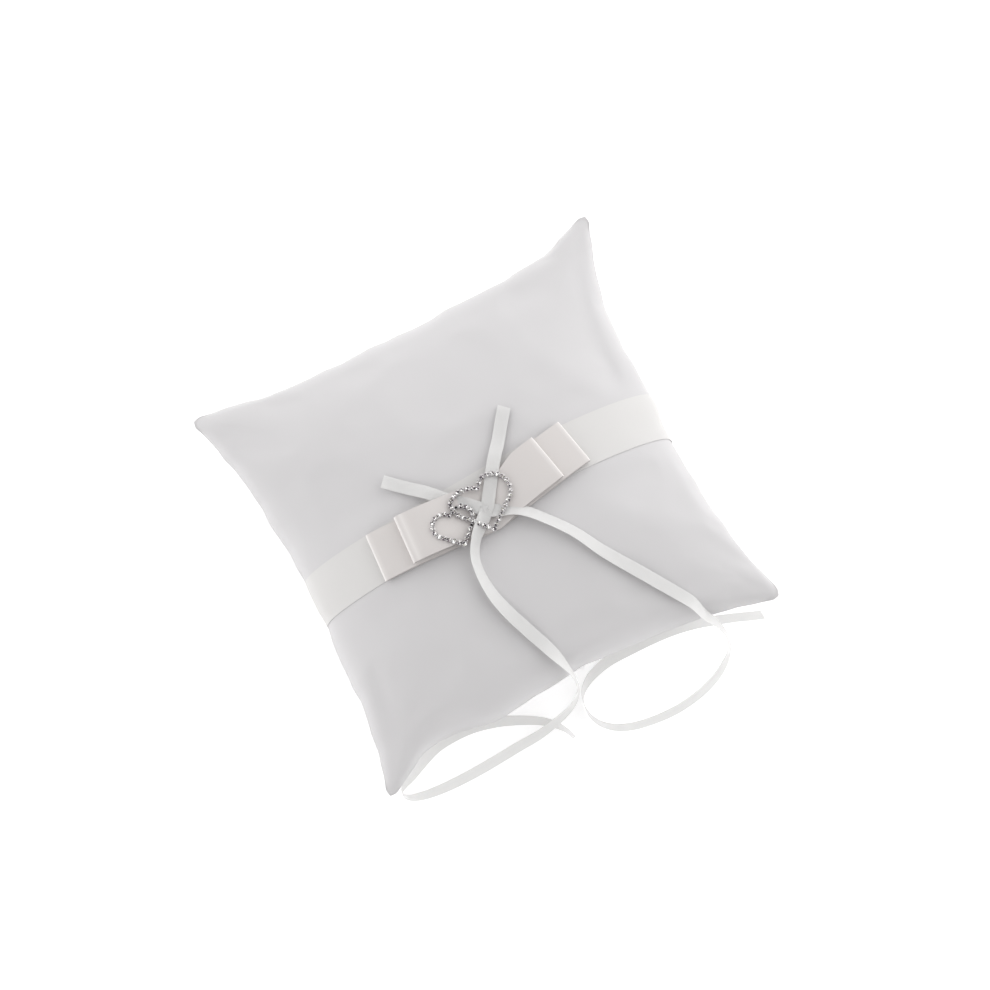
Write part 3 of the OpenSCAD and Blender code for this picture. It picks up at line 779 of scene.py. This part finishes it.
# x, y, z and turn, from the end of the short tail over the tack to the end of the long one.
# At turn 0 the ribbon lies flat and at 90 it stands on edge.
ROUTES = {
    "ribbon_1": [
        (-42, 23, 60.4, 0), (-37, 18, 61.3, 0), (-32, 13, 62.5, 0), (-27, 8, 64.4, 0), (-22, 2.5, 65.8, 0),
        (-18, -1.5, 65.9, 0), (-14, -5, 65.8, 0), (-7, -11.9, 65.7, 0), (-2, -14.5, 65.7, 8),
        (4, -17, 65.8, 20), (9, -21, 65.9, 27), (15, -27, 64, 30), (24, -38, 61.4, 28), (31.6, -50.8, 58, 18),
        (41.3, -64, 52.6, 4), (46.4, -70.6, 49.1, 4), (51.4, -77, 45.1, 6), (56.4, -83.3, 40.2, 10),
        (61.4, -89.2, 34.8, 24), (66, -96.2, 28.4, 48), (68.6, -103.5, 21, 66), (68, -108.5, 13.5, 70),
        (65, -112, 8.5, 68), (59.8, -115.5, 5.5, 64), (51.5, -118.8, 4, 62), (42.5, -120.8, 3.4, 62),
        (32.5, -121.6, 3.2, 62), (21.7, -120.9, 3.2, 65), (13, -119.2, 3.2, 67), (5.9, -116.2, 3.2, 71),
        (0.5, -111.5, 3.2, 78), (-2.2, -106, 3.2, 86), (-2.4, -100.3, 3.2, 94), (-0.3, -94.8, 3.2, 106),
        (4, -91, 3.1, 120), (10.4, -88.2, 2.8, 132), (18.4, -86.6, 2.6, 137), (28, -86.4, 2.4, 137),
        (39.7, -86.6, 2.4, 136), (50, -87.4, 2.4, 134), (60, -89.4, 2.6, 128), (69.7, -92.4, 2.8, 123),
        (79, -95.7, 3, 120), (90.7, -100.4, 3, 118),
    ],
    "ribbon_2": [
        (23, 28.5, 61.8, 0), (18, 22, 62.4, 0), (13, 15, 63.4, 0), (8, 8.5, 65.6, 0), (4, 3, 66.1, 0),
        (1, -1, 66.2, 0), (-1.5, -4.5, 66.2, 0), (-7, -11.9, 66.2, 0), (-12, -16.5, 66.2, 22),
        (-17.3, -21.5, 65.9, 44), (-21, -27.5, 64.3, 46), (-22.5, -35, 62.4, 42), (-22, -46, 60, 28),
        (-18.6, -58, 56.4, 8), (-16, -64, 54, 4), (-13.9, -69, 51.9, 0), (-11.3, -74.5, 49.3, 6),
        (-8.8, -80, 46.5, 18), (-5, -88.5, 39, 55), (-4, -94.5, 31, 72), (-5.5, -97.8, 22, 76),
        (-10, -100.3, 13.5, 72), (-18.5, -102.2, 8.6, 62), (-28, -103.3, 5.2, 54), (-37, -103.5, 3.9, 50),
        (-50, -104.3, 3.2, 48), (-59, -104.8, 3.2, 48), (-70, -105, 3.2, 50), (-81.5, -104.4, 3.2, 56),
        (-89.5, -103, 3.2, 66), (-94.3, -100.8, 3.2, 80), (-95.4, -97.8, 3.2, 94), (-92.8, -95.4, 3.2, 108),
        (-87.5, -93, 2.9, 122), (-81.5, -89.9, 2.5, 134), (-71.7, -86.2, 2.4, 138), (-61.7, -85.2, 2.4, 138),
        (-52.4, -85.7, 2.4, 137), (-44, -87.6, 2.4, 136), (-38.6, -89.5, 2.5, 132), (-28.5, -94.4, 2.7, 122),
        (-22, -98.6, 2.8, 116), (-17, -103.8, 3, 106), (-14.8, -107.5, 3.2, 98), (-13.5, -111.5, 3.2, 95),
    ],
}
# How much further the near edge of a cut end runs than its far edge: short tail, long tail
SLANT = {"ribbon_1": (0.2, -2.2), "ribbon_2": (-0.7, 0.8)}
TACK = (-7, -11.9)
CLEARANCE = 0.34     # from the ribbon's middle to what it lies on
PUSH_REACH = 10      # samples over which a push clear of the cushion or the bow fades out
drape_tree = tree_of(*panels, mesh_arrays(band), mesh_arrays(bow_outer), mesh_arrays(bow_inner))


def ribbon(name, route, slant):
    """A narrow ribbon along its route, kept just clear of what it lies on.
    Returns the two pieces that part at the tack, each with its centreline from there."""
    route = np.array(route, float)
    tangent = unit(np.gradient(route[:, :3], axis=0))
    side = unit(np.cross(tangent, [0, 0, 1]))
    lift = np.cross(side, tangent)
    turn = np.radians(route[:, 3:4])
    wide = np.cos(turn) * side + np.sin(turn) * lift
    samples = smooth_line(np.concatenate([route[:, :3], wide], 1), 1.1)
    centre, wide = samples[:, :3], samples[:, 3:]
    for _ in range(3):
        tangent = unit(np.gradient(centre, axis=0))
        wide = unit(wide - tangent * (wide * tangent).sum(1, keepdims=True))
        push = np.zeros_like(centre)
        for i in range(len(centre)):
            most = 0
            for q in (-1, -0.5, 0, 0.5, 1):
                p = Vector(centre[i] + wide[i] * q * RIBBON_W / 2)
                near, normal, _, _ = drape_tree.find_nearest(p, 6)
                if near is None:
                    continue
                short = CLEARANCE - (p - near).dot(normal)
                if short > most:
                    most = short
                    push[i] = np.array(normal) * short
        if not push.any():
            break
        spread_push = push.copy()
        for shift_by in range(1, PUSH_REACH):
            for sign in (-1, 1):
                moved = np.roll(push, sign * shift_by, 0) * (1 - shift_by / PUSH_REACH)
                longer = np.linalg.norm(moved, axis=1) > np.linalg.norm(spread_push, axis=1)
                spread_push[longer] = moved[longer]
        centre = centre + blur(spread_push, PUSH_REACH)
    floor_gap = 0.1 + RIBBON_T / 2
    edge_low = centre[:, 2] - np.abs(wide[:, 2]) * RIBBON_W / 2
    centre[:, 2] += blur(np.maximum(0, floor_gap - edge_low), 2)
    tangent = unit(np.gradient(centre, axis=0))
    wide = unit(wide - tangent * (wide * tangent).sum(1, keepdims=True))
    cols = 9
    q = np.linspace(-1, 1, cols)
    q = np.sign(q) * np.abs(q) ** 0.8
    grid = centre[:, None] + wide[:, None] * (q * RIBBON_W / 2)[None, :, None]
    for end, cut in zip((0, -1), slant):
        grid[end] += tangent[end] * (q * cut / 2)[:, None]
    middle = int(np.argmin(np.hypot(centre[:, 0] - TACK[0], centre[:, 1] - TACK[1])))
    halves = {}
    for part, rows in (("short", slice(middle, None, -1)), ("long", slice(middle, None))):
        piece_grid = grid[rows] if part == "long" else grid[rows, ::-1]
        piece = strip(f"{name}_{part}_satin", piece_grid, RIBBON_T, narrow_satin, selvage=1.4)
        halves[f"{name}_{part}"] = (piece, centre[rows])
    return halves


ribbons = {}
for name, route in ROUTES.items():
    ribbons.update(ribbon(name, route, SLANT[name]))

# ---- brooch

BROOCH_Z = 66.55
STONE_D = 2.1
LOBE = 0.565
HEART_TALL = 1.75
LARGE = {"half_w": 28.3 / 2, "count": 17, "at": (-6.7, -4.9), "turn": -5, "left_lobe": 0.66}
SMALL = {"half_w": 19.4 / 2, "count": 12, "at": (-23.2, -10.2), "turn": 0, "left_lobe": 1}


def heart_facts(half_w):
    r = LOBE * half_w
    c = half_w - r
    h = HEART_TALL * half_w - r
    start = math.pi - math.acos(c / r)
    end = math.acos(r / math.hypot(c, h)) - math.pi + math.atan(h / c)
    return r, c, h, start, end


def along_heart(half_w, distance):
    """A place on the right half, at a distance from the notch, and the direction outward."""
    r, c, h, start, end = heart_facts(half_w)
    arc = r * (start - end)
    a = max(end, start - distance / r)
    rest = max(0, distance - arc)
    return c + r * math.cos(a) + rest * math.sin(a), r * math.sin(a) - rest * math.cos(a), a


def heart_settings(heart):
    """Centre and outward direction of every setting, going once round from the notch."""
    r, c, h, start, end = heart_facts(heart["half_w"])
    half_length = r * (start - end) + math.sqrt(c * c + h * h - r * r)
    count = heart["count"]
    places = [along_heart(heart["half_w"], k * half_length / count) for k in range(count + 1)]
    places += [(-x, y, math.pi - a) for x, y, a in reversed(places[1:-1])]
    # The left lobe is bent down a little.
    places = [
        (x, y * lerp(heart["left_lobe"], 1, float(ease((x + 1) / 5))) if y > 0 else y, a)
        for x, y, a in places
    ]
    t = math.radians(heart["turn"])
    return [
        (
            heart["at"][0] + x * math.cos(t) - y * math.sin(t),
            heart["at"][1] + x * math.sin(t) + y * math.cos(t),
            a + t,
        )
        for x, y, a in places
    ]


large_settings = heart_settings(LARGE)
small_settings = heart_settings(SMALL)


def crosses(x, y):
    return min(math.hypot(x - a, y - b) for a, b, _ in large_settings) <= STONE_D + 0.1


def setting_parts():
    """A cup with four claws, in its own frame."""
    points, faces = [], []
    outer, inner = STONE_D / 2 + 0.14, STONE_D / 2 + 0.02
    cup = ((outer * 0.8, 0), (outer, 0.18), (outer, 0.95), (inner, 0.98), (inner * 0.98, 0.62))
    for radius, z in cup:
        for k in range(16):
            a = 2 * math.pi * k / 16
            points.append((radius * math.cos(a), radius * math.sin(a), z))
    faces += ring_faces(0, len(cup), 16)
    for k in range(4):
        a = math.pi / 4 + k * math.pi / 2
        c, s = math.cos(a), math.sin(a)
        line = [
            (outer, 0.35), (outer + 0.05, 1.0), (outer - 0.02, 1.4),
            (outer - 0.28, 1.62), (outer - 0.5, 1.68),
        ]
        widths = [0.2, 0.21, 0.2, 0.17, 0.1]
        start = len(points)
        for (rad, z), w in zip(line, widths):
            for m in range(6):
                b = 2 * math.pi * m / 6
                across_by, up_by = w * math.cos(b), w * 0.7 * math.sin(b)
                rad_by = rad + up_by * 0.7
                points.append((c * rad_by - s * across_by, s * rad_by + c * across_by, z + up_by * 0.5))
        faces += ring_faces(start, len(line), 6, flip=True)
    return np.array(points), faces


def stone_parts():
    """A cut stone: pavilion, girdle, eight main crown facets with star facets, and a table."""
    r = STONE_D / 2
    points, faces = [], []
    ring = []
    for radius, z, count, shift in (
        (r * 0.35, 0.35, 8, 0), (r, 0.95, 16, 0), (r, 1.1, 16, 0),
        (r * 0.8, 1.42, 8, 0.5), (r * 0.53, 1.68, 8, 0),
    ):
        ring.append(len(points))
        for k in range(count):
            a = 2 * math.pi * (k + shift) / count
            points.append((radius * math.cos(a), radius * math.sin(a), z))
    base, low, high, mid, table = ring
    for k in range(8):
        n = (k + 1) % 8
        faces.append((base + k, base + n, low + (2 * k + 1) % 16))
        faces.append((base + k, low + 2 * k + 1, low + 2 * k))
        faces.append((base + n, low + (2 * k + 2) % 16, low + 2 * k + 1))
        faces.append((mid + k, table + n, table + k))
        faces.append((high + 2 * k, high + 2 * k + 1, mid + k))
        faces.append((high + 2 * k + 1, high + (2 * k + 2) % 16, mid + k))
        faces.append((high + (2 * k + 2) % 16, mid + n, table + n, mid + k))
    for k in range(16):
        n = (k + 1) % 16
        faces.append((low + k, low + n, high + n, high + k))
    faces.append(tuple(base + k for k in reversed(range(8))))
    # The cuts below show through the table as eight wedges.
    points.append((0, 0, 1.42))
    for k in range(8):
        faces.append((table + k, table + (k + 1) % 8, len(points) - 1))
    sectors = [k for k in range(8) for _ in range(7)] + [k // 2 for k in range(16)] + [0] + list(range(8))
    return np.array(points), faces, sectors


def placed(points, x, y, turn, tilt):
    """Points of a setting moved to its place on the chain, with a small tilt."""
    c, s = math.cos(turn), math.sin(turn)
    p = points + (points[:, :1] * tilt[0] + points[:, 1:2] * tilt[1]) * (0, 0, 1)
    return np.stack([x + p[:, 0] * c - p[:, 1] * s, y + p[:, 0] * s + p[:, 1] * c, BROOCH_Z + p[:, 2]], 1)


cup_points, cup_faces = setting_parts()
stone_points, stone_faces, stone_sectors = stone_parts()


def metal_material(name, colour):
    material, nodes, links, shader = new_material(name, Metallic=1.0, Roughness=0.2)
    wear = node(nodes, "ShaderNodeTexNoise", Scale=900.0, Detail=3.0)
    links.new(object_place(nodes), wear.inputs["Vector"])
    tone = mixed(nodes, links, wear.outputs["Fac"], tuple(c * 0.55 for c in colour), colour)
    links.new(tone, shader.inputs["Base Color"])
    ranged(nodes, links, wear.outputs["Fac"], 0.12, 0.3, shader.inputs["Roughness"])
    return material


def stone_material():
    """Foil-backed glass with painted reflections: each facet's colour is set bright or dark from a value
    stored on it, standing in for the bright and dark parts of the studio it would mirror.
    """
    material, nodes, links, shader = new_material(
        "rhinestone", Metallic=0.85, Roughness=0.05, Coat_Weight=1.0, Coat_Roughness=0.02, Coat_IOR=1.6
    )
    painted_glint = node(nodes, "ShaderNodeAttribute", attribute_name="painted_glint")
    ramp = node(nodes, "ShaderNodeValToRGB")
    ramp.color_ramp.interpolation = "CONSTANT"
    stops = ramp.color_ramp.elements
    stops[0].position, stops[0].color = 0.0, (0.03, 0.018, 0.03, 1)
    stops[1].position, stops[1].color = 0.62, (1.0, 1.0, 0.98, 1)
    for at, colour in (
        (0.3, (0.13, 0.085, 0.11, 1)), (0.42, (0.36, 0.36, 0.30, 1)), (0.52, (0.66, 0.62, 0.6, 1)),
    ):
        stops.new(at).color = colour
    links.new(painted_glint.outputs["Fac"], ramp.inputs[0])
    links.new(ramp.outputs[0], shader.inputs["Base Color"])
    return material


brooch_metal = metal_material("brooch_metal", (0.85, 0.83, 0.84))
rhinestone = stone_material()


def add_painted_glints(piece, count):
    """Painted reflections: a brightness for every facet. The facets of one eighth of a stone mostly get the
    same painted brightness.
    """
    values = piece.data.attributes.new("painted_glint", "FLOAT", "FACE")
    shared = rng.random((count, 8))[:, stone_sectors]
    values.data.foreach_set("value", (shared + rng.normal(0, 0.07, shared.shape)).ravel().astype(np.float32))


def build_heart(name, settings, skip):
    metal, metal_faces, stones, cut_faces = [], [], [], []

    def add(points, faces, store, face_store):
        start = sum(len(p) for p in store)
        store.append(points)
        face_store.extend(tuple(k + start for k in face) for face in faces)

    for i, (x, y, a) in enumerate(settings):
        left_out = skip(x, y)
        if not left_out:
            tilt = rng.normal(0, 0.14, 2)
            add(placed(cup_points, x, y, a, tilt), cup_faces, metal, metal_faces)
            turn = a + rng.uniform(0, math.pi / 4)
            add(placed(stone_points, x, y, turn, tilt), stone_faces, stones, cut_faces)
        # A flat link to the next setting.
        nx, ny, _ = settings[(i + 1) % len(settings)]
        d = np.array([nx - x, ny - y])
        long = np.linalg.norm(d)
        d = d / long
        w = np.array([-d[1], d[0]]) * 0.55
        p0 = np.array([x, y]) - d * (0.6 if not left_out else 0.3)
        p1 = np.array([nx, ny]) + d * 0.6
        corners = [p0 + w, p0 - w, p1 - w, p1 + w]
        box_points = [(c[0], c[1], BROOCH_Z + z) for z in (0.06, 0.5) for c in corners]
        box_faces = [(3, 2, 1, 0), (4, 5, 6, 7), (1, 5, 4, 0), (2, 6, 5, 1), (3, 7, 6, 2), (0, 4, 7, 3)]
        add(np.array(box_points), box_faces, metal, metal_faces)
    metal_piece = add_mesh(name + "_chain", np.concatenate(metal), metal_faces, brooch_metal, sharp=35)
    stone_piece = add_mesh(name + "_stones", np.concatenate(stones), cut_faces, rhinestone, sharp=0)
    stone_piece.data.shade_flat()
    # Painted reflections: a bright or dark value on every facet.
    add_painted_glints(stone_piece, len(stones))
    return metal_piece, stone_piece


large_chain, large_stones = build_heart("large_heart", large_settings, lambda x, y: False)
small_chain, small_stones = build_heart("small_heart", small_settings, crosses)

# ---- threads

def inset_rim(distance):
    """The seam line all round, moved inward."""
    ring = np.concatenate([
        front_grid[:-1, 0], front_grid[-1, :-1], front_grid[:0:-1, -1], front_grid[0, :0:-1],
    ])
    inward = np.concatenate([
        front_grid[:-1, 1], front_grid[-2, :-1], front_grid[:0:-1, -2], front_grid[1, :0:-1],
    ]) - ring
    inward[:, 2] = 0
    return ring + unit(inward) * distance


seam = inset_rim(2.2)
far_side = np.abs(seam[:, 0]) < 30
opening = far_side & (seam[:, 1] > 50)
first = int(np.argmax(opening)) + int(opening.sum())
seam = np.roll(seam, -first, 0)[: len(seam) - int(opening.sum())]
seam_thread = tube("seam_stitching", [smooth_line(seam, 2.5)], 0.3, white_thread)

stitches = []
rim_line = front_grid[:, -1]
for x in np.linspace(-28, 28, 15):
    k = np.argmin(np.abs(rim_line[:, 0] - x))
    p = rim_line[k]
    a = math.radians(25 * rng.uniform(0.6, 1.4))
    dirn = np.array([math.sin(a), 0, math.cos(a)])
    arc = [p + dirn * t * 1.1 + np.array([0, 0.28 - 0.4 * t * t, 0]) for t in np.linspace(-1, 1, 7)]
    stitches.append(arc)
closing = tube("closing_stitching", stitches, 0.28, white_thread)

sewn = []
for k in range(6):
    y = BAND_Y + BAND_WIDTH / 6 * (k - 2.5)
    sewn.append([(0, y + t * 1.15, 0.2 - 0.05 * t * t) for t in np.linspace(-1, 1, 5)])
band_sewn = tube("band_stitching", sewn, 0.24, white_thread)


def laid_stitch(tree, x, y, lean, reach, samples, missing, lift, dip):
    """A stitch on top of the cloth, which dips in at both ends. missing is the height past its edge."""
    arc = []
    for t in np.linspace(-1, 1, samples):
        at = (x + lean * t, y + reach * t)
        arc.append((*at, height_on(tree, *at, missing) + lift - dip * t**4))
    return arc


bow_tree = tree_of(mesh_arrays(bow_inner))
bow_lines = [laid_stitch(bow_tree, BOW[0] + d, BOW[1], 0.3, 4, 9, 65, 0.16, 0.25) for d in (-2, 0, 2)]
bow_sewn = tube("bow_stitching", bow_lines, 0.28, white_thread)

top_tree = tree_of(*(mesh_arrays(piece) for piece, _ in ribbons.values()))
tack_lines = [laid_stitch(top_tree, TACK[0] + d, -12, 0, 1.5, 7, 66.4, 0.17, 0.2) for d in (-1, 1)]
tack_sewn = tube("ribbon_tack_stitching", tack_lines, 0.28, white_thread)

LOOP_R = 0.95
loops = []
for settings, sewn_at in ((large_settings, (3, 13)), (small_settings, (8,))):
    count = len(settings)
    for k in sewn_at:
        for i in (k, count - 1 - k):
            (x0, y0, a0), (x1, y1, a1) = settings[i], settings[(i + 1) % count]
            x, y = (x0 + x1) / 2, (y0 + y1) / 2
            out = unit(np.array([math.cos(a0) + math.cos(a1), math.sin(a0) + math.sin(a1)]))
            loops.append([
                (
                    x + out[0] * LOOP_R * math.cos(t),
                    y + out[1] * LOOP_R * math.cos(t),
                    BROOCH_Z - 0.1 + math.sin(t),
                )
                for t in np.linspace(0, math.pi, 13)
            ])
brooch_sewn = tube("brooch_stitching", loops, 0.28, white_thread)

# ---- filling

FILLING_ACROSS, FILLING_UP = 0.972, 0.955
FILLING_REST = 1.2


def inner_body():
    """The filling: both panels drawn inward, as one closed body."""
    size = CELLS + 1
    points = []
    for grid in (front_grid, rear_grid):
        moved = grid.copy()
        moved[..., :2] *= FILLING_ACROSS
        moved[..., 2] = SEAM + (moved[..., 2] - SEAM) * FILLING_UP
        if grid is rear_grid:
            moved[..., 2] = np.maximum(moved[..., 2], FILLING_REST + groove(moved, 4))
        points.append(moved.reshape(-1, 3))
    count = size * size
    faces = grid_faces(size, size) + grid_faces(size, size, start=count, flip=True)
    rim = [i * size for i in range(size)] + [(size - 1) * size + j for j in range(1, size)]
    rim += [i * size + size - 1 for i in range(size - 2, -1, -1)] + [j for j in range(size - 2, 0, -1)]
    pts = np.concatenate(points)
    pts[rim, 2] += 0.15
    pts[[r + count for r in rim], 2] -= 0.15
    for a, b in zip(rim, rim[1:] + rim[:1]):
        faces.append((b, a, count + a, count + b))
    return pts, faces


def speckled(name, roughness, dark, light, **noise):
    """A material whose grey varies with a noise."""
    material, nodes, links, shader = new_material(name, Roughness=roughness)
    grain = node(nodes, "ShaderNodeTexNoise", **noise)
    links.new(object_place(nodes), grain.inputs["Vector"])
    tone = mixed(nodes, links, grain.outputs["Fac"], (dark,) * 3, (light,) * 3)
    links.new(tone, shader.inputs["Base Color"])
    return material, shader


fibre_material, _ = speckled("fibre", 0.95, 0.6, 0.9, Scale=350.0, Detail=5.0, Distortion=2.0)
filling_points, filling_faces = inner_body()
filling = add_mesh("fibre_wadding", filling_points, filling_faces, fibre_material, sharp=0)

# ---- studio

bpy.ops.mesh.primitive_plane_add(size=8, location=(0, 0, -0.0003))
floor = bpy.context.object
floor.name = "floor"
floor_material, shader = speckled("floor", 0.9, 0.86, 0.88, Scale=60.0)
shader.inputs["Emission Color"].default_value = (1, 1, 1, 1)
shader.inputs["Emission Strength"].default_value = 0.42
floor.data.materials.append(floor_material)

world = bpy.data.worlds.new("studio")
scene.world = world
world.use_nodes = True
w_nodes, w_links = world.node_tree.nodes, world.node_tree.links
background = w_nodes["Background"]
direction = w_nodes.new("ShaderNodeTexCoord").outputs["Generated"]
# Brightness of the studio by direction: tall light walls to the right and left, a weaker one behind,
# a dim ceiling, and nothing on the camera's side.
split = w_nodes.new("ShaderNodeSeparateXYZ")
w_links.new(direction, split.inputs[0])
level = None
for axis, edge_of, strength in ((0, 1, 1.74), (0, -1, 1.26), (1, 1, 0.66), (2, 1, 0.26)):
    wall = node(w_nodes, "ShaderNodeMapRange", interpolation_type="SMOOTHSTEP",
                From_Min=0.0, From_Max=float(edge_of), To_Min=0.0, To_Max=strength)
    w_links.new(split.outputs[axis], wall.inputs["Value"])
    total = node(w_nodes, "ShaderNodeMath", operation="ADD")
    w_links.new(wall.outputs[0], total.inputs[0])
    if level:
        w_links.new(level, total.inputs[1])
    else:
        total.inputs[1].default_value = 0.09
    level = total.outputs[0]
w_links.new(level, background.inputs["Strength"])
background.inputs["Color"].default_value = (1, 1, 1, 1)
scene.view_settings.view_transform = "Standard"
scene.view_settings.look = "None"


# ---- what stands for what

PIECES = [
    (front_cover, "cover_satin", ["front_cover"]),
    (rear_cover, "cover_satin", ["back_cover"]),
    (filling, "fibre", ["fibre_filling"]),
    (seam_thread, "thread", ["seam_thread"]),
    (closing, "thread", ["closing_stitches"]),
    (band, "band_satin", ["centre_band"]),
    (band_sewn, "thread", ["band_stitches"]),
    (bow_outer, "bow_satin", ["bow_outer_loops"]),
    (bow_inner, "bow_satin", ["bow_inner_loops"]),
    (bow_sewn, "thread", ["bow_stitches"]),
    *((piece, "narrow_satin", [f"ring_{name}_tail"]) for name, (piece, _) in ribbons.items()),
    (tack_sewn, "thread", ["ribbon_tack_stitches"]),
    (large_chain, "brooch_metal", ["brooch_frame"]),
    (small_chain, "brooch_metal", []),
    (large_stones, "rhinestone", ["large_heart_stones"]),
    (small_stones, "rhinestone", ["small_heart_stones"]),
    (brooch_sewn, "thread", ["brooch_sewing_loops"]),
]
for piece, finish, stands_for in PIECES:
    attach(piece, "root")
    if stands_for:
        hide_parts(*stands_for)
